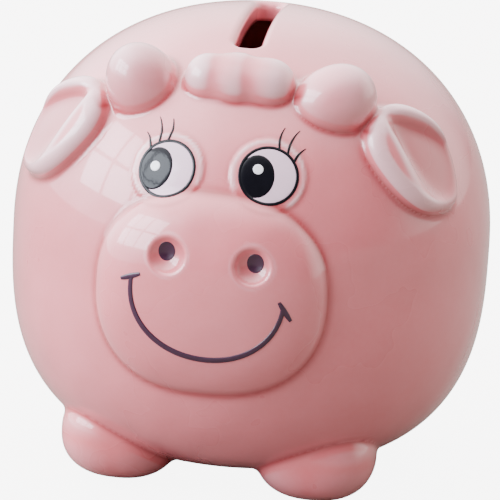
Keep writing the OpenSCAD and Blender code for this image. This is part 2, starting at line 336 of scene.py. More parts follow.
# eyes, each on a faint raised round
eyePlan = {
    "ringR": 7.4, "ringSoft": 0.5, "ringRise": 0.3, "radius": 5.9, "line": 0.62, "turn": -4.0,
    "pupil": (3.45, 4.35), "glance": (-2.15, -0.35),
    "glint": 1.05, "glintAt": {1: (-2.1, 1.0), -1: (-2.4, 0.0)},
    # each lash's angle on the outline and its length
    "lashes": [(17, 4.8), (36, 5.7), (56, 3.8)], "lashLine": 0.6, "lashLean": 0.62, "lashBow": 0.36,
    # each eye's angle from the front and height over the widest ring
    "places": {1: (11.9, 22.1), -1: (-14.5, 21.6)},
}
eyeSeats = {side: Seat(math.radians(angle), height) for side, (angle, height) in eyePlan["places"].items()}


def fromEye(p, seat):
    u, v = seat.local(p, seat.across, seat.up)
    return np.where((p - seat.origin) @ seat.out > -6, np.hypot(u, v), 1e3)


def eyeRise(p):
    soft = eyePlan["ringSoft"]
    rise = sum(1 - smoothStep(fromEye(p, seat), eyePlan["ringR"] - soft, eyePlan["ringR"] + soft)
               for seat in eyeSeats.values())
    return rise * eyePlan["ringRise"]


# the clay pieces, in the order in which they are luted on
clay = {"body_shell": (bodyDistance, 0), "muzzle": (muzzleDistance, muzzlePlan["blend"])}
for place in ("front_left", "front_right", "rear_left", "rear_right"):
    clay[place + "_foot"] = (footDistance(place + "_foot"), footPlan["blend"])
clay["tail"] = (tailDistance, tailPlan["blend"])
clay["forelock"] = (forelockDistance, forelockPlan["blend"])
for side, word in ((1, "left"), (-1, "right")):
    clay[word + "_horn"] = (hornDistance(side), hornPlan["blend"])
    clay[word + "_ear"] = (earDistance(side), earPlan["blend"])

luted = {name: part for name, part in clay.items() if name != "body_shell"}
lutedBoxes = {name: boxOf(name) for name in luted}

lap = 0.9    # how far one piece runs on under the next
dive = 0.14  # how deep it lies there
sink = 1.6   # how far the body's own surface drops under a luted piece
root = 2.2   # how deep a luted piece goes into the wall
near = 6.0   # beyond this from a piece's box its distance isn't worked out exactly


def clayDistances(p):
    distances = {"body_shell": bodyDistance(p)}
    for name, part in luted.items():
        low, high = lutedBoxes[name]
        away = np.linalg.norm(np.maximum(np.maximum(low - p, p - high), 0), axis=1)
        close = away < near
        distance = away + near
        if close.any():
            distance[close] = part[0](p[close])
        distances[name] = distance
    return distances


def skinField(p, distances=None):
    distances = distances or clayDistances(p)
    skin = distances["body_shell"] - eyeRise(p)
    for name, part in luted.items():
        skin = smoothMin(skin, distances[name], part[1])
    return smoothMax(skin, -dimples(p), muzzlePlan["dimpleBlend"])


def pieceField(p, name):
    distances = clayDistances(p)
    skin = skinField(p, distances)
    zone = distances[name] - np.min([d for key, d in distances.items() if key != name], axis=0)
    piece = np.maximum(skin + dive * smoothStep(zone, 0, lap), zone - lap)
    if name == "body_shell":
        return np.minimum(piece, distances[name] + sink)
    return np.maximum(piece, -distances["body_shell"] - root)


def outwardAt(p):
    slope = gradient(skinField, p)
    return slope / np.linalg.norm(slope, axis=1, keepdims=True)


def settle(field, p, rounds, most):
    # moves points onto the field's surface
    for _ in range(rounds):
        slope = gradient(field, p)
        move = (field(p) / np.maximum((slope ** 2).sum(1), 0.05))[:, None] * slope
        size = np.linalg.norm(move, axis=1, keepdims=True)
        p = p - move * np.minimum(1, most / np.maximum(size, 1e-9))
    return p


def dropOn(field, origin, direction, low, high):
    # the outermost place where lines from the origins along the direction leave the solid
    a, b = np.full(len(origin), low, float), np.full(len(origin), high, float)
    for _ in range(26):
        middle = (a + b) / 2
        solid = field(origin + middle[:, None] * direction) < 0
        a, b = np.where(solid, middle, a), np.where(solid, b, middle)
    return origin + a[:, None] * direction


# where the glaze pools and where it runs thin
poolPlan = {
    "reach": 1.5, "touch": (1.5, 3.5),
    "hollow": 0.5, "hollowDepth": (0.5, 2.2), "hollowEdge": (0.9, 2.2),
    "ring": 0.35, "ringOut": 0.3, "ringWide": 0.55,
    "bend": 1.1, "ridge": (0.1, 0.5), "crease": 0.45, "creaseBend": (0.1, 0.9), "dimpleClear": (0.2, 1.6),
}


def glazeMasks(p):
    plan = poolPlan
    distances = clayDistances(p)
    joined = distances["body_shell"]
    pool = np.zeros(len(p))
    for name, part in luted.items():
        gap = np.abs(joined - distances[name])
        close = 1 - smoothStep(np.abs(distances[name]), *plan["touch"])
        pool = np.maximum(pool, np.clip(1 - gap / plan["reach"], 0, 1) ** 1.5 * close)
        joined = smoothMin(joined, distances[name], part[1])
    for side in (1, -1):
        slab, hollow, depth = earParts(p, side)
        inside = (slab < 0.3) * (1 - smoothStep(np.abs(hollow), *plan["hollowEdge"]))
        pool = np.maximum(pool, plan["hollow"] * smoothStep(depth, *plan["hollowDepth"]) * inside)
    for seat in eyeSeats.values():
        ring = (fromEye(p, seat) - eyePlan["ringR"] - plan["ringOut"]) / plan["ringWide"]
        pool = np.maximum(pool, plan["ring"] * np.exp(-ring ** 2))
    step = plan["bend"]
    middle = skinField(p)
    bend = sum(skinField(p + step * e) + skinField(p - step * e) - 2 * middle for e in np.eye(3)) / step ** 2
    thin = smoothStep(bend, *plan["ridge"]) * smoothStep(dimples(p), *plan["dimpleClear"])
    pool = np.maximum(pool, plan["crease"] * smoothStep(-bend, *plan["creaseBend"]))
    return np.clip(pool, 0, 1), thin * (1 - pool)


def meshFromField(field, low, high, cell):
    axes = [np.arange(a, b + cell, cell) for a, b in zip(low, high)]
    shape = [len(a) for a in axes]
    grid = np.stack(np.meshgrid(*axes, indexing="ij"), -1).reshape(-1, 3)
    value = field(grid).reshape(shape)
    cells = tuple(n - 1 for n in shape)
    total, count, edges = np.zeros(cells + (3,)), np.zeros(cells), []
    index = np.stack(np.meshgrid(*[np.arange(n) for n in shape], indexing="ij"), -1).astype(float)
    for axis in range(3):
        first = [slice(None)] * 3
        first[axis] = slice(0, -1)
        second = [slice(None)] * 3
        second[axis] = slice(1, None)
        a, b = value[tuple(first)], value[tuple(second)]
        cross = (a < 0) != (b < 0)
        at = index[tuple(first)].copy()
        at[..., axis] += np.where(cross, a / np.where(cross, a - b, 1), 0)
        one, two = (axis + 1) % 3, (axis + 2) % 3
        for i in (0, 1):
            for j in (0, 1):
                part = [slice(None)] * 3
                part[one] = slice(i, i + cells[one])
                part[two] = slice(j, j + cells[two])
                hit = cross[tuple(part)]
                total += np.where(hit[..., None], at[tuple(part)], 0)
                count += hit
        edges.append((axis, cross, a < 0))
    used = count > 0
    number = np.full(cells, -1)
    number[used] = np.arange(used.sum())
    points = total[used] / count[used][:, None] * cell + np.array(low)
    faces = []
    for axis, cross, inside in edges:
        one, two = (axis + 1) % 3, (axis + 2) % 3
        where = np.argwhere(cross)
        first, second = where[:, one], where[:, two]
        where = where[(first > 0) & (second > 0) & (first < cells[one]) & (second < cells[two])]
        ring = []
        for i, j in ((1, 1), (0, 1), (0, 0), (1, 0)):
            at = where.copy()
            at[:, one] -= i
            at[:, two] -= j
            ring.append(number[at[:, 0], at[:, 1], at[:, 2]])
        quads = np.stack(ring, 1)
        turn = ~inside[where[:, 0], where[:, 1], where[:, 2]]
        quads[turn] = quads[turn][:, ::-1]
        faces.append(quads)
    return points, np.concatenate(faces)


def extentOf(field, low, high, step=1.6, margin=8.0):
    axes = [np.arange(a - margin, b + margin, step) for a, b in zip(low, high)]
    grid = np.stack(np.meshgrid(*axes, indexing="ij"), -1).reshape(-1, 3)
    solid = grid[field(grid) < step]
    return solid.min(0) - step, solid.max(0) + step


def evenOut(points, faces, share):
    total, count = np.zeros_like(points), np.zeros(len(points))
    for i in range(4):
        for j in (1, 3):
            np.add.at(total, faces[:, i], points[faces[:, (i + j) % 4]])
            np.add.at(count, faces[:, i], 1)
    return points + share * (total / count[:, None] - points)


def makePiece(name, points, faces, material, masks=None):
    mesh = bpy.data.meshes.new(name)
    mesh.from_pydata((points * mm).tolist(), [], faces)
    mesh.polygons.foreach_set("use_smooth", [True] * len(mesh.polygons))
    for key, values in (masks or {}).items():
        mesh.attributes.new(key, "FLOAT", "POINT").data.foreach_set("value", np.asarray(values, float))
    mesh.materials.append(material)
    mesh.update()
    return addObject(name, mesh)


def standFor(piece, body, slot, *nodes):
    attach(piece, body)
    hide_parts(*nodes)


# materials
colours = {
    "glazeThin": (0.80, 0.46, 0.49), "glazeBody": (0.70, 0.145, 0.168), "glazePooled": (0.40, 0.045, 0.055),
    # the feet's glaze is darker and more saturated than the body's: painted shade, the shade under the bank
    # laid into their colour
    "footShadedBody": (0.70, 0.10, 0.115),
    "bareClay": (0.80, 0.66, 0.60), "eyeWhite": (0.78, 0.56, 0.67), "glint": (0.9, 0.9, 0.93),
    "inkBlue": (0.003, 0.003, 0.005), "plum": (0.03, 0.010, 0.025), "rubber": (0.62, 0.58, 0.56),
    "floor": (0.19, 0.155, 0.135),
}
# sizes that the glaze's node group takes by name
flowPlan = {"cloudScale": 42.0, "cloud": 0.22, "speckScale": 900.0, "speck": 0.08,
            "rough": 0.22, "roughSpread": 0.12, "rippleScale": 55.0}
glazePlan = {"bareRough": 0.7, "ior": 1.5, "coat": 1.0, "coatRough": 0.05, "ripple": 0.0012}


def feed(tree, value, socket):
    # links a socket, or sets a plain value
    if isinstance(value, bpy.types.NodeSocket):
        tree.links.new(value, socket)
    else:
        socket.default_value = value


def addNode(tree, kind, **inputs):
    node = tree.nodes.new(kind)
    for key, value in inputs.items():
        node.inputs[key].default_value = value
    return node


def mathNode(tree, operation, a, b):
    node = tree.nodes.new("ShaderNodeMath")
    node.operation = operation
    for socket, value in zip(node.inputs, (a, b)):
        feed(tree, value, socket)
    return node.outputs[0]


def vectorNode(tree, operation, a, b):
    node = tree.nodes.new("ShaderNodeVectorMath")
    node.operation = operation
    feed(tree, a, node.inputs[0])
    feed(tree, b, node.inputs["Scale"] if operation == "SCALE" else node.inputs[1])
    return node.outputs["Value" if operation == "DOT_PRODUCT" else "Vector"]


def mixColour(tree, share, a, b):
    node = tree.nodes.new("ShaderNodeMix")
    node.data_type = "RGBA"
    sockets = {s.identifier: s for s in node.inputs}
    for key, value in (("Factor_Float", share), ("A_Color", a), ("B_Color", b)):
        feed(tree, value, sockets[key])
    return next(s for s in node.outputs if s.identifier == "Result_Color")


def attributeValue(tree, name):
    node = tree.nodes.new("ShaderNodeAttribute")
    node.attribute_name = name
    return node.outputs["Fac"]


def newGroup(name, inputs, outputs):
    group = bpy.data.node_groups.new(name, "ShaderNodeTree")
    for way, sockets in (("INPUT", inputs), ("OUTPUT", outputs)):
        for kind, keys in sockets.items():
            for key in keys:
                group.interface.new_socket(key, in_out=way, socket_type="NodeSocket" + kind)
    return group, group.nodes.new("NodeGroupInput").outputs, group.nodes.new("NodeGroupOutput").inputs


def noiseAt(tree, scale, detail, roughness=0.5):
    place = tree.nodes.new("ShaderNodeTexCoord")
    noise = addNode(tree, "ShaderNodeTexNoise", Detail=detail, Roughness=roughness)
    feed(tree, place.outputs["Object"], noise.inputs["Vector"])
    feed(tree, scale, noise.inputs["Scale"])
    return noise.outputs["Fac"]


def buildGlazeGroup():
    # colour deepens where the glaze pools and pales where it runs thin off an edge
    tree, given, out = newGroup(
        "glazeFlow",
        {"Color": ("thin", "body", "pooled"), "Float": flowPlan},
        {"Color": ("Color",), "Float": ("Roughness", "Height")})
    cloud = noiseAt(tree, given["cloudScale"], 3.0)
    speck = noiseAt(tree, given["speckScale"], 2.0)
    cloudy = mathNode(tree, "MULTIPLY", cloud, given["cloud"])
    specky = mathNode(tree, "MULTIPLY", speck, given["speck"])
    thin = mathNode(tree, "ADD", attributeValue(tree, "thin"), mathNode(tree, "ADD", cloudy, specky))
    thin.node.use_clamp = True
    pool = mathNode(tree, "MULTIPLY", attributeValue(tree, "pool"), mathNode(tree, "SUBTRACT", 1.15, cloudy))
    pool.node.use_clamp = True
    colour = mixColour(tree, thin, given["body"], given["thin"])
    feed(tree, mixColour(tree, pool, colour, given["pooled"]), out["Color"])
    spread = mathNode(tree, "MULTIPLY", cloud, given["roughSpread"])
    feed(tree, mathNode(tree, "ADD", spread, given["rough"]), out["Roughness"])
    feed(tree, noiseAt(tree, given["rippleScale"], 1.5), out["Height"])
    return tree


def newMaterial(name):
    material = bpy.data.materials.new(name)
    material.use_nodes = True
    return material, material.node_tree, material.node_tree.nodes["Principled BSDF"]


def bumpInto(tree, shader, height, distance, strength=1.0):
    bump = addNode(tree, "ShaderNodeBump", Strength=strength, Distance=distance)
    feed(tree, height, bump.inputs["Height"])
    feed(tree, bump.outputs["Normal"], shader.inputs["Normal"])


glazeGroup = buildGlazeGroup()


def makeGlaze(name, bareAndShadedFeet=False):
    material, tree, shader = newMaterial(name)
    # the feet take the darker glaze colour, which is painted shade, and bare clay at the sole
    body = colours["footShadedBody" if bareAndShadedFeet else "glazeBody"]
    flow = tree.nodes.new("ShaderNodeGroup")
    flow.node_tree = glazeGroup
    shades = {"thin": colours["glazeThin"], "body": body, "pooled": colours["glazePooled"]}
    for key, value in (shades | flowPlan).items():
        flow.inputs[key].default_value = (*value, 1) if key in shades else value
    colour, rough = flow.outputs["Color"], flow.outputs["Roughness"]
    if bareAndShadedFeet:
        bare = attributeValue(tree, "bare")
        colour = mixColour(tree, bare, colour, (*colours["bareClay"], 1))
        rough = mathNode(tree, "ADD", rough, mathNode(tree, "MULTIPLY", bare, glazePlan["bareRough"]))
    feed(tree, colour, shader.inputs["Base Color"])
    feed(tree, rough, shader.inputs["Roughness"])
    shader.inputs["IOR"].default_value = glazePlan["ior"]
    shader.inputs["Coat Weight"].default_value = glazePlan["coat"]
    shader.inputs["Coat Roughness"].default_value = glazePlan["coatRough"]
    bumpInto(tree, shader, flow.outputs["Height"], glazePlan["ripple"])
    return material


paintFilm = {"scale": 420.0, "share": 0.8, "roughSpread": 0.05}


def makePaint(name, colour, shade, roughness, ripple=0.00004, gloss=0.5):
    # fired-on colour: dense, with the faintest unevenness of a brushed or printed film
    material, tree, shader = newMaterial(name)
    film = noiseAt(tree, paintFilm["scale"], 2.0)
    share = mathNode(tree, "MULTIPLY", film, paintFilm["share"])
    feed(tree, mixColour(tree, share, (*colour, 1), (*shade, 1)), shader.inputs["Base Color"])
    rough = mathNode(tree, "ADD", mathNode(tree, "MULTIPLY", film, paintFilm["roughSpread"]), roughness)
    feed(tree, rough, shader.inputs["Roughness"])
    shader.inputs["Specular IOR Level"].default_value = gloss
    bumpInto(tree, shader, film, ripple)
    return material


pinkGlaze = makeGlaze("pinkGlaze")
# the feet's glaze carries painted shade in its darker colour
shadedFootGlaze = makeGlaze("shadedFootGlaze", bareAndShadedFeet=True)
whitePaint = makePaint("eyeWhitePaint", colours["eyeWhite"], (0.72, 0.50, 0.61), 0.08, gloss=0.3)
glintPaint = makePaint("glintPaint", colours["glint"], (0.8, 0.8, 0.86), 0.06)
bluePaint = makePaint("eyeInkPaint", colours["inkBlue"], (0.006, 0.006, 0.01), 0.07, gloss=0.22)
plumPaint = makePaint("plumInkPaint", colours["plum"], (0.06, 0.02, 0.05), 0.12)
rubber = makePaint("stopperRubber", colours["rubber"], (0.54, 0.50, 0.48), 0.5, 0.00012)
print("materials made")


# the body: one closed skin of rings, out from the coin slot, down, in at the hole and back up inside
bodyRings = {"columns": 360, "frontDense": 0.35, "fanRows": 28, "fanR": 25.0, "crownRows": 94,
             "bellyRows": 78, "insideRows": 22, "lipRows": 9, "seatRows": 6, "insideFanRows": 10,
             "seatRound": 0.7}


def slotOutline(offset, share):
    halfWide, halfLong = bodyPlan["slotWide"] / 2 + offset, bodyPlan["slotLong"] / 2 + offset
    corner = min(bodyPlan["slotCorner"] + offset, halfWide - 0.01)
    turn = np.linspace(0, math.pi / 2, 12)
    around = []
    for quarter, (sx, sy) in enumerate(((1, 1), (-1, 1), (-1, -1), (1, -1))):
        a = turn + quarter * math.pi / 2
        around.append(np.stack([sx * (halfWide - corner) + corner * np.cos(a),
                                sy * (halfLong - corner) + corner * np.sin(a)], 1))
    start = np.array([[halfWide, 0]])
    line = np.concatenate([start] + around + [start])
    run = np.concatenate([[0], np.cumsum(np.linalg.norm(np.diff(line, axis=0), axis=1))])
    at = (share % 1) * run[-1]
    x, y = (np.interp(at, run, line[:, k]) for k in (0, 1))
    return np.stack([x, y - bodyPlan["slotFront"]], 1)


def heightAt(plan, out):
    # the crown's surface over a place in plan, moved in or out
    rho = np.hypot(plan[:, 0], plan[:, 1]) / (bodyR + out)
    return equatorZ + (crownH + out) * (1 - rho ** bodyPlan["crownPower"]) ** (1 / bodyPlan["crownPower"])


def profileRows(low, high, rows, out, crown):
    # rings evenly spaced along the crown's or belly's profile between two radii
    power, tall = (bodyPlan["crownPower"], crownH) if crown else (bodyPlan["bellyPower"], -bellyH)
    a = np.linspace(0, math.pi / 2, 4000)
    r = (bodyR + out) * np.sin(a) ** (2 / power)
    z = math.copysign(abs(tall) + out, tall) * np.cos(a) ** (2 / power)
    keep = (r >= low) & (r <= high + 1e-6)
    r, z = r[keep], z[keep]
    run = np.concatenate([[0], np.cumsum(np.hypot(np.diff(r), np.diff(z)))])
    at = np.linspace(0, run[-1], rows)
    return np.stack([np.interp(at, run, r), equatorZ + np.interp(at, run, z)], 1)


def buildBody():
    plan = bodyRings
    s = np.linspace(-math.pi, math.pi, plan["columns"], endpoint=False)
    around = s - plan["frontDense"] * np.sin(s) - math.pi / 2
    circle = np.stack([np.cos(around), np.sin(around)], 1)
    share = around / (2 * math.pi)
    wall, lip = bodyPlan["wall"], bodyPlan["lipRound"]
    rows, outer = [], []

    def addRow(xy, z, skin=False):
        rows.append(np.column_stack([xy, np.broadcast_to(z, len(xy))]))
        outer.append(skin)

    def addFan(offset, out, steps):
        # rows between the slot's outline and a ring round it
        start = slotOutline(offset, share)
        for w in steps:
            xy = start + w * (plan["fanR"] * circle - start)
            addRow(xy, heightAt(xy, out), out == 0)

    for a in np.linspace(0, math.pi / 2, plan["lipRows"])[:-1]:
        xy = slotOutline(lip * (1 - math.cos(a)), share)
        addRow(xy, heightAt(xy, 0) - lip * (1 - math.sin(a)))
    addFan(lip, 0, np.linspace(0, 1, plan["fanRows"]))
    for r, z in profileRows(plan["fanR"], bodyR, plan["crownRows"], 0, True)[1:]:
        addRow(circle * r, z, True)
    seatR, seatZ = bodyPlan["seatR"], shellLow[2] + bodyPlan["seatDepth"]
    holeR, holeTop = bodyPlan["holeR"], shellLow[2] + bodyPlan["seatDepth"] + bodyPlan["holeWall"]
    soft = plan["seatRound"]
    for r, z in profileRows(seatR + soft, bodyR, plan["bellyRows"], 0, False)[::-1][1:]:
        addRow(circle * r, z, True)
    rimZ = rows[-1][0, 2]
    for a in np.linspace(0, math.pi / 2, plan["seatRows"])[1:]:
        addRow(circle * (seatR + soft - soft * math.sin(a)), rimZ + soft * (1 - math.cos(a)))
    for r, z in ((seatR, seatZ - 0.3), (seatR - 0.3, seatZ), (holeR + 0.4, seatZ), (holeR, seatZ + 0.4),
                 (holeR, holeTop - 0.5), (holeR + 0.5, holeTop), (seatR + 1.0, holeTop)):
        addRow(circle * r, z)
    for r, z in profileRows(seatR + 2.5, bodyR - wall, plan["insideRows"], -wall, False):
        addRow(circle * r, z)
    for r, z in profileRows(plan["fanR"], bodyR - wall, plan["insideRows"], -wall, True)[::-1][1:]:
        addRow(circle * r, z)
    addFan(0, -wall, np.linspace(1, 0, plan["insideFanRows"])[1:])
    low, high = rows[-1][:, 2], rows[0][:, 2]
    for w in (0.3, 0.6, 0.85):
        addRow(slotOutline(0, share), low + w * (high - low))

    points = np.concatenate(rows)
    skinned = np.repeat(outer, plan["columns"])
    normal = gradient(bodyDistance, points[skinned])
    normal /= np.linalg.norm(normal, axis=1, keepdims=True)
    points[skinned] = dropOn(lambda p: pieceField(p, "body_shell"), points[skinned], normal, -1.75, 3.0)
    count, wide = len(rows), plan["columns"]
    i, j = np.meshgrid(np.arange(count), np.arange(wide), indexing="ij")
    faces = np.stack([i * wide + j, i * wide + (j + 1) % wide, (i + 1) % count * wide + (j + 1) % wide,
                      (i + 1) % count * wide + j], -1).reshape(-1, 4)
    return points, faces, skinned


def volumeOf(points, faces):
    a, b, c, d = (points[faces[:, k]] for k in range(4))
    return (np.einsum("ij,ij->i", a, np.cross(b, c)) + np.einsum("ij,ij->i", a, np.cross(c, d))).sum() / 6


def faceOut(points, faces):
    return (faces if volumeOf(points, faces) > 0 else faces[:, ::-1]).tolist()


def finishClay(name, slot, points, faces, material, masks, onSkin):
    # the part that shows takes the joined skin's own normals, so no seam shows between pieces
    piece = makePiece(name + "_glazed", points, faceOut(points, faces), material, masks)
    normals = np.zeros(len(points) * 3)
    piece.data.vertices.foreach_get("normal", normals)
    normals = normals.reshape(-1, 3)
    smooth = gradient(skinField, points[onSkin])
    size = np.linalg.norm(smooth, axis=1)
    good = size > 0.3
    where = np.flatnonzero(onSkin)[good]
    normals[where] = smooth[good] / size[good][:, None]
    piece.data.normals_split_custom_set_from_vertices(normals.tolist())
    standFor(piece, "bank", slot, name)
    print(name, len(faces), "faces")


bodyPoints, bodyFaces, bodySkinned = buildBody()
pool, thin = glazeMasks(bodyPoints)
onSkin = bodySkinned & (np.abs(skinField(bodyPoints)) < 0.25)
pool[~bodySkinned], thin[~bodySkinned] = 0, 0
finishClay("body_shell", "pink_glaze", bodyPoints, bodyFaces, pinkGlaze, {"pool": pool, "thin": thin}, onSkin)

clayCell = {"muzzle": 0.4, "tail": 0.34, "forelock": 0.34, "left_horn": 0.34, "right_horn": 0.34,
            "left_ear": 0.3, "right_ear": 0.3}
for name in luted:
    field = lambda p, name=name: pieceField(p, name)
    low, high = extentOf(field, *boxOf(name))
    points, faces = meshFromField(field, low, high, clayCell.get(name, 0.4))
    points = evenOut(points, faces, 0.5)
    points = settle(field, points, 3, 0.15)
    points[:, 2] = np.maximum(points[:, 2], 0)
    pool, thin = glazeMasks(points)
    masks = {"pool": pool, "thin": thin}
    foot = name.endswith("_foot")
    # feet get the glaze with painted shade in its colour, and bare clay at the sole
    if foot:
        masks["bare"] = 1 - smoothStep(points[:, 2], *footPlan["bareTo"])
    onSkin = np.abs(skinField(points)) < 0.02 + dive
    finishClay(name, "foot_glaze" if foot else "pink_glaze", points, faces,
               shadedFootGlaze if foot else pinkGlaze, masks, onSkin)

# painted discs: whites, pupils, glints and nostrils
paintPlan = {"white": 0.08, "pupil": 0.14, "glint": 0.2, "nostril": 0.06, "nostrilR": (1.65, 1.9),
             "depth": 0.3, "edgeThin": 0.85, "rings": 10, "columns": 72}
# across, up and out on the animal's front
facing = np.array([1.0, 0, 0]), np.array([0, 0, 1.0]), np.array([0, -1.0, 0])


def onSurface(origin, long, wide, out, places, reach=(-5.0, 4.0)):
    start = origin + places[:, :1] * long + places[:, 1:] * wide
    return dropOn(skinField, start, out, *reach)


def paintedDisc(name, slot, at, shape, middle, lift, material):
    rings, columns = paintPlan["rings"], paintPlan["columns"]
    shares = np.linspace(0, 1, rings + 1)[1:] ** 0.8
    places = np.concatenate([[middle]] + [middle + share * (shape - middle) for share in shares])
    flat = onSurface(*at, places)
    slope = outwardAt(flat)
    # the film thins at its edge
    raised = [math.sqrt(1 - paintPlan["edgeThin"] * share ** 12) for share in shares]
    raised = np.concatenate([[1.0], np.repeat(raised, columns)])
    top, under = flat + slope * (lift * raised)[:, None], flat - slope * paintPlan["depth"]
    points, faces, half = np.concatenate([top, under]), [], len(flat)
    for base, flip in ((0, False), (half, True)):
        for k in range(columns):
            n = (k + 1) % columns
            first = [base, base + 1 + k, base + 1 + n]
            faces.append(first[::-1] if flip else first)
            for ring in range(rings - 1):
                a = base + 1 + ring * columns
                quad = [a + k, a + columns + k, a + columns + n, a + n]
                faces.append(quad[::-1] if flip else quad)
    edge = 1 + (rings - 1) * columns
    for k in range(columns):
        n = (k + 1) % columns
        faces.append([edge + k, half + edge + k, half + edge + n, edge + n])
    standFor(makePiece(name + "_painted", points, faces, material), "bank", slot, name)


def ovalPlaces(middle, halfWide, halfLong, most=None):
    t = np.linspace(0, 2 * math.pi, paintPlan["columns"], endpoint=False)
    places = np.stack([middle[0] + halfWide * np.cos(t), middle[1] + halfLong * np.sin(t)], 1)
    if most:
        size = np.linalg.norm(places, axis=1, keepdims=True)
        places *= np.minimum(1, most / size)
    return places


def eyeAt(side):
    seat = eyeSeats[side]
    return seat.origin, *seat.turned(eyePlan["turn"]), seat.out


for side, word in ((1, "left"), (-1, "right")):
    at = eyeAt(side)
    inside = eyePlan["radius"] - eyePlan["line"] / 2
    glance, glint = np.array(eyePlan["glance"]), np.array(eyePlan["glintAt"][side])
    paintedDisc(word + "_eye_white", "eye_white", at, ovalPlaces((0, 0), inside, inside), np.zeros(2),
                paintPlan["white"], whitePaint)
    paintedDisc(word + "_pupil", "eye_ink", at, ovalPlaces(glance, *eyePlan["pupil"], inside), glance,
                paintPlan["pupil"], bluePaint)
    paintedDisc(word + "_glint", "eye_white", at, ovalPlaces(glint, *[eyePlan["glint"]] * 2), glint,
                paintPlan["glint"], glintPaint)
    nose = middleOf(word + "_nostril") + nostrilShift[word + "_nostril"]
    paintedDisc(word + "_nostril", "plum_ink", (nose, *facing), ovalPlaces((0, 0), *paintPlan["nostrilR"]),
                np.zeros(2), paintPlan["nostril"], plumPaint)
print("discs painted")


# painted lines: a tree that lays a tapering, flattened bead along any line
def buildLineTree():
    tree = bpy.data.node_groups.new("paintedLine", "GeometryNodeTree")
    for key, kind in (("Geometry", "Geometry"), ("Step", "Float"), ("Flatness", "Float"), ("Sides", "Int"),
                      ("Paint", "Material")):
        tree.interface.new_socket(key, in_out="INPUT", socket_type="NodeSocket" + kind)
    tree.interface.new_socket("Geometry", in_out="OUTPUT", socket_type="NodeSocketGeometry")
    given, out = tree.nodes.new("NodeGroupInput").outputs, tree.nodes.new("NodeGroupOutput").inputs

    def step(kind, result, values, **settings):
        node = tree.nodes.new("GeometryNode" + kind)
        for key, value in settings.items():
            setattr(node, key, value)
        for key, value in values.items():
            feed(tree, value, node.inputs[key])
        return node.outputs[result]

    def named(name, kind):
        return step("InputNamedAttribute", "Attribute", {"Name": name}, data_type=kind)

    place = step("InputPosition", "Position", {})
    line = step("MeshToCurve", "Curve", {"Mesh": given["Geometry"]})
    line = step("ResampleCurve", "Curve", {"Curve": line, "Length": given["Step"]}, mode="LENGTH")
    line = step("StoreNamedAttribute", "Geometry", {"Geometry": line, "Name": "spine", "Value": place},
                data_type="FLOAT_VECTOR", domain="POINT")
    line = step("SetCurveRadius", "Curve", {"Curve": line, "Radius": named("halfWidth", "FLOAT")})
    ring = step("CurvePrimitiveCircle", "Curve", {"Radius": 1.0, "Resolution": given["Sides"]})
    bead = step("CurveToMesh", "Mesh", {"Curve": line, "Profile Curve": ring, "Fill Caps": True,
                                        "Scale": named("halfWidth", "FLOAT")})
    # press the bead flat, along the surface's own direction
    up = named("outward", "FLOAT_VECTOR")
    away = vectorNode(tree, "SUBTRACT", place, named("spine", "FLOAT_VECTOR"))
    height = vectorNode(tree, "DOT_PRODUCT", away, up)
    press = mathNode(tree, "MULTIPLY", height, mathNode(tree, "MULTIPLY", given["Flatness"], -1.0))
    bead = step("SetPosition", "Geometry", {"Geometry": bead, "Offset": vectorNode(tree, "SCALE", up, press)})
    bead = step("SetShadeSmooth", "Geometry", {"Geometry": bead})
    bead = step("RealizeInstances", "Geometry", {"Geometry": bead})
    bead = step("SetMaterial", "Geometry", {"Geometry": bead, "Material": given["Paint"]})
    feed(tree, bead, out["Geometry"])
    return tree


linePlan = {"step": 0.25, "flatness": 0.72, "sides": 10, "lift": 0.06}
lineTree = buildLineTree()


def paintedLines(name, slot, lines, paint):
    # lines is a list of (points on the surface, directions out of it, half widths, closed)
    points, outward, halfWidth, edges = [], [], [], []
    for line, out, half, closed in lines:
        start = len(points)
        points += (line * mm).tolist()
        outward += out.tolist()
        halfWidth += (half * mm).tolist()
        last = len(points) - 1
        edges += [(k, k + 1) for k in range(start, last)]
        if closed:
            edges.append((last, start))
    mesh = bpy.data.meshes.new(name + "_painted")
    mesh.from_pydata(points, edges, [])
    mesh.attributes.new("outward", "FLOAT_VECTOR", "POINT").data.foreach_set("vector", np.ravel(outward))
    mesh.attributes.new("halfWidth", "FLOAT", "POINT").data.foreach_set("value", halfWidth)
    piece = addObject(mesh.name, mesh)
    modifier = piece.modifiers.new("paintedLine", "NODES")
    modifier.node_group = lineTree
    sockets = {item.name: item.identifier for item in lineTree.interface.items_tree
               if item.in_out == "INPUT" and item.name != "Geometry"}
    modifier[sockets["Step"]] = linePlan["step"] * mm
    modifier[sockets["Flatness"]] = linePlan["flatness"]
    modifier[sockets["Sides"]] = linePlan["sides"]
    modifier[sockets["Paint"]] = paint
    baked = bpy.data.meshes.new_from_object(piece.evaluated_get(bpy.context.evaluated_depsgraph_get()))
    piece.modifiers.clear()
    piece.data = baked
    standFor(piece, "bank", slot, name)
    print(name, len(baked.polygons), "faces")


def lineOnSkin(at, places, half, closed=False, reach=(-5.0, 4.0)):
    flat = onSurface(*at, places, reach)
    slope = outwardAt(flat)
    return flat + linePlan["lift"] * slope, slope, np.broadcast_to(half, len(flat)).astype(float), closed


def taper(count, widest, blunt, sharp):
    s = np.linspace(0, 1, count)
    swell = np.sin(np.clip(s * 2.2, 0, 1) * math.pi / 2)
    return widest * (blunt + (1 - blunt) * swell) * (1 - (1 - sharp) * s ** 1.5)


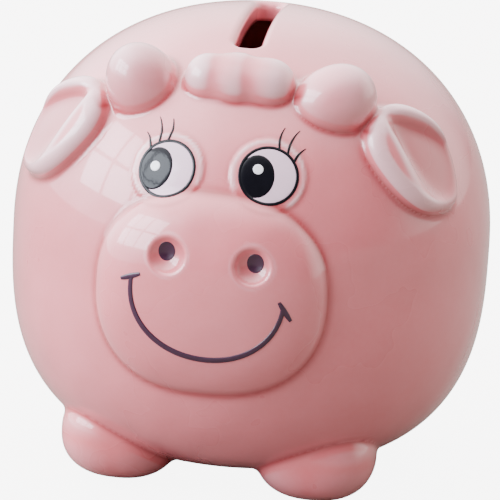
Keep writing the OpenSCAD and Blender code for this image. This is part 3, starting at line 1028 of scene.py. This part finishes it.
for side, word in ((1, "left"), (-1, "right")):
    at = eyeAt(side)
    ringR = eyePlan["radius"] - eyePlan["line"] / 2
    t = np.linspace(0, 2 * math.pi, 120, endpoint=False)
    lines = [lineOnSkin(at, ringR * np.stack([np.cos(t), np.sin(t)], 1), eyePlan["line"] / 2, True)]
    for angle, length in eyePlan["lashes"]:
        a = math.radians(angle)
        s = np.linspace(0, 1, 24)
        # each lash springs from the outline and sweeps up
        spring = ringR * np.array([side * math.sin(a), math.cos(a)])
        lean = math.radians(angle * eyePlan["lashLean"] - 2)
        way = np.array([side * math.sin(lean), math.cos(lean)])
        bow = np.array([-way[1], way[0]]) * side * eyePlan["lashBow"]
        places = spring + length * (s[:, None] * way + (s * (1 - s))[:, None] * bow)
        lines.append(lineOnSkin(at, places, taper(len(s), eyePlan["lashLine"] / 2, 0.7, 0.25)))
    paintedLines(word + "_eye_line", "eye_ink", lines, bluePaint)


smilePlan = {
    "middleX": -0.5, "halfWide": 15.0, "drop": 13.3, "height": 0.25,
    "line": 1.25, "turn": 6.0, "fullness": 0.92, "reach": (-9.0, 3.0),
    # each tick's place, its angle and its length
    "ticks": [(-15.6, 1.9, 22, 4.2), (14.7, -2.4, -58, 4.4)], "tickLine": 1.1,
}


def smileLines():
    turn = math.radians(-smilePlan["turn"])
    t = np.linspace(0.01, math.pi - 0.01, 90)
    drop = smilePlan["drop"] * np.sin(t) ** smilePlan["fullness"]
    arc = np.stack([-smilePlan["halfWide"] * np.cos(t), -drop], 1)
    turned = arc @ np.array([[math.cos(turn), math.sin(turn)], [-math.sin(turn), math.cos(turn)]])
    turned += np.array([smilePlan["middleX"], smilePlan["height"]])
    at = (np.array([0, muzzleMiddle[1] - muzzlePlan["depth"], equatorZ]), *facing)
    half = smilePlan["line"] / 2 * (0.75 + 0.25 * np.sin(t))

    lines = [lineOnSkin(at, turned, half, reach=smilePlan["reach"])]
    for x, z, angle, length in smilePlan["ticks"]:
        a, s = math.radians(angle), np.linspace(-0.5, 0.5, 20)
        places = np.array([x, z]) + length * s[:, None] * np.array([math.cos(a), math.sin(a)])
        tickHalf = smilePlan["tickLine"] / 2 * (1 - 1.6 * s ** 2)
        lines.append(lineOnSkin(at, places, tickHalf, reach=smilePlan["reach"]))
    return lines


paintedLines("smile", "plum_ink", smileLines(), plumPaint)

# the rubber stopper: a flanged hollow plug with a finger dish and a pull bar
stopperLow, stopperHigh = boxOf("stopper")
stopperPlan = {"flangeThick": 1.8, "plugR": 12.94, "plugWall": 2.5, "dishR": 8.5, "dishDeep": 2.6, "web": 2.0,
               "bar": 3.0, "barEnd": 0.5, "edge": 0.5, "lead": 1.0,
               "hollowRound": 0.8, "dishRound": 0.9, "barRound": 0.7,
               "flangeJoin": 0.3, "hollowEdge": 0.4, "dishEdge": 0.5, "barJoin": 0.5}


def boxField(r, z, halfR, low, high, soft):
    a, b = np.abs(r) - halfR + soft, np.abs(z - (low + high) / 2) - (high - low) / 2 + soft
    return np.minimum(np.maximum(a, b), 0) + np.hypot(np.maximum(a, 0), np.maximum(b, 0)) - soft


def stopperField(p):
    plan = stopperPlan
    r, z = np.hypot(p[:, 0], p[:, 1]), p[:, 2]
    low, high = stopperLow[2], stopperHigh[2]
    flangeR = (stopperHigh[0] - stopperLow[0]) / 2
    flange = boxField(r, z, flangeR, low, low + plan["flangeThick"], plan["edge"])
    plug = boxField(r, z, plan["plugR"], low + 0.5, high, plan["lead"])
    solid = smoothMin(flange, plug, plan["flangeJoin"])
    webZ = low + plan["dishDeep"] + plan["web"]
    hollow = boxField(r, z, plan["plugR"] - plan["plugWall"], webZ, high + 5, plan["hollowRound"])
    dish = boxField(r, z, plan["dishR"], low - 5, low + plan["dishDeep"], plan["dishRound"])
    solid = smoothMax(smoothMax(solid, -hollow, plan["hollowEdge"]), -dish, plan["dishEdge"])
    bar = boxField(p[:, 0], z, plan["bar"] / 2, low + 0.15, webZ - 0.5, plan["barRound"])
    bar = np.maximum(bar, np.abs(p[:, 1]) - plan["dishR"] - plan["barEnd"])
    return smoothMin(solid, bar, plan["barJoin"])


stopperPoints, stopperFaces = meshFromField(stopperField, stopperLow - 1, stopperHigh + 1, 0.36)
stopperPoints = settle(stopperField, evenOut(stopperPoints, stopperFaces, 0.5), 4, 0.2)
stopper = makePiece("stopper_moulded", stopperPoints, faceOut(stopperPoints, stopperFaces), rubber)
standFor(stopper, "stopper", "stopper_rubber", "stopper")
print("stopper made")


# floor and light
lightPlan = {
    "window": {"at": (-0.97, -0.50, 0.55), "aim": (0, 0, 0.05), "size": (1.1, 0.66), "power": 27.0,
               "colour": (0.82, 0.90, 1.0), "panes": (3, 2), "bar": 0.035},
    # the room: dim and warm, with a broad bright ceiling towards the back and a bright left side
    "room": 0.20, "roomColour": (1.0, 0.84, 0.72),
    "glows": [{"at": (-0.24, 0.42, 0.87), "from": 0.15, "to": 1.0, "level": 4.2, "colour": (1.0, 0.97, 0.99)},
              {"at": (-0.95, -0.10, 0.28), "from": 0.2, "to": 1.0, "level": 4.4, "colour": (0.86, 0.90, 1.0)},
              {"at": (0.90, 0.42, 0.12), "from": 0.75, "to": 1.0, "level": 2.2, "colour": (1.0, 0.94, 0.90)}],
    "floorGlow": 7.0,
}


def addLight(name, place, turn, size, power, colour):
    data = bpy.data.lights.new(name, "AREA")
    data.shape = "RECTANGLE"
    data.size, data.size_y = size
    data.energy = power
    data.color = colour
    addObject(name, data).matrix_world = Matrix.Translation(place) @ turn.to_4x4()


def makeWindow(plan):
    # one area light for each pane, so the bars between them show in the gloss
    across, up = plan["panes"]
    place = Vector(plan["at"])
    turn = (Vector(plan["aim"]) - place).to_track_quat("-Z", "Y").to_matrix()
    wide = plan["size"][0] / across - plan["bar"]
    tall = plan["size"][1] / up - plan["bar"]
    power = plan["power"] / (across * up)
    for i in range(across):
        for j in range(up):
            offset = turn @ Vector(((i + 0.5) / across * plan["size"][0] - plan["size"][0] / 2,
                                    (j + 0.5) / up * plan["size"][1] - plan["size"][1] / 2, 0))
            addLight(f"pane{i}{j}", place + offset, turn, (wide, tall), power, plan["colour"])


def shareToward(tree, direction, low, high):
    # 0 away from a direction, 1 toward it
    place = tree.nodes.new("ShaderNodeTexCoord")
    along = vectorNode(tree, "DOT_PRODUCT", place.outputs["Generated"], Vector(direction).normalized())
    ramp = tree.nodes.new("ShaderNodeMapRange")
    ramp.interpolation_type = "SMOOTHSTEP"
    feed(tree, along, ramp.inputs["Value"])
    ramp.inputs["From Min"].default_value = low
    ramp.inputs["From Max"].default_value = high
    return ramp.outputs["Result"]


def makeRoom(plan):
    world = bpy.data.worlds.new("studio")
    world.use_nodes = True
    tree = world.node_tree
    total = [plan["room"] * c for c in plan["roomColour"]]
    for glow in plan["glows"]:
        share = shareToward(tree, glow["at"], glow["from"], glow["to"])
        bright = vectorNode(tree, "SCALE", [glow["level"] * c for c in glow["colour"]], share)
        total = vectorNode(tree, "ADD", total, bright)
    feed(tree, total, tree.nodes["Background"].inputs["Color"])
    bpy.context.scene.world = world


makeWindow(lightPlan["window"])
makeRoom(lightPlan)

floorMesh = bpy.data.meshes.new("floor")
floorReach = 6.0
corners = [(-floorReach, -floorReach, 0), (floorReach, -floorReach, 0), (floorReach, floorReach, 0),
           (-floorReach, floorReach, 0)]
floorMesh.from_pydata(corners, [], [(0, 1, 2, 3)])
floorMaterial, floorTree, floorShader = newMaterial("paleFloor")
floorShader.inputs["Base Color"].default_value = (*colours["floor"], 1)
floorShader.inputs["Roughness"].default_value = 0.9
# the floor looks white without throwing more light on the bank
floorShader.inputs["Emission Color"].default_value = (1, 1, 1, 1)
seen = floorTree.nodes.new("ShaderNodeLightPath").outputs["Is Camera Ray"]
glow = mathNode(floorTree, "MULTIPLY", seen, lightPlan["floorGlow"])
feed(floorTree, glow, floorShader.inputs["Emission Strength"])
floorMesh.materials.append(floorMaterial)
addObject("floor", floorMesh)
print("floor and lights placed")
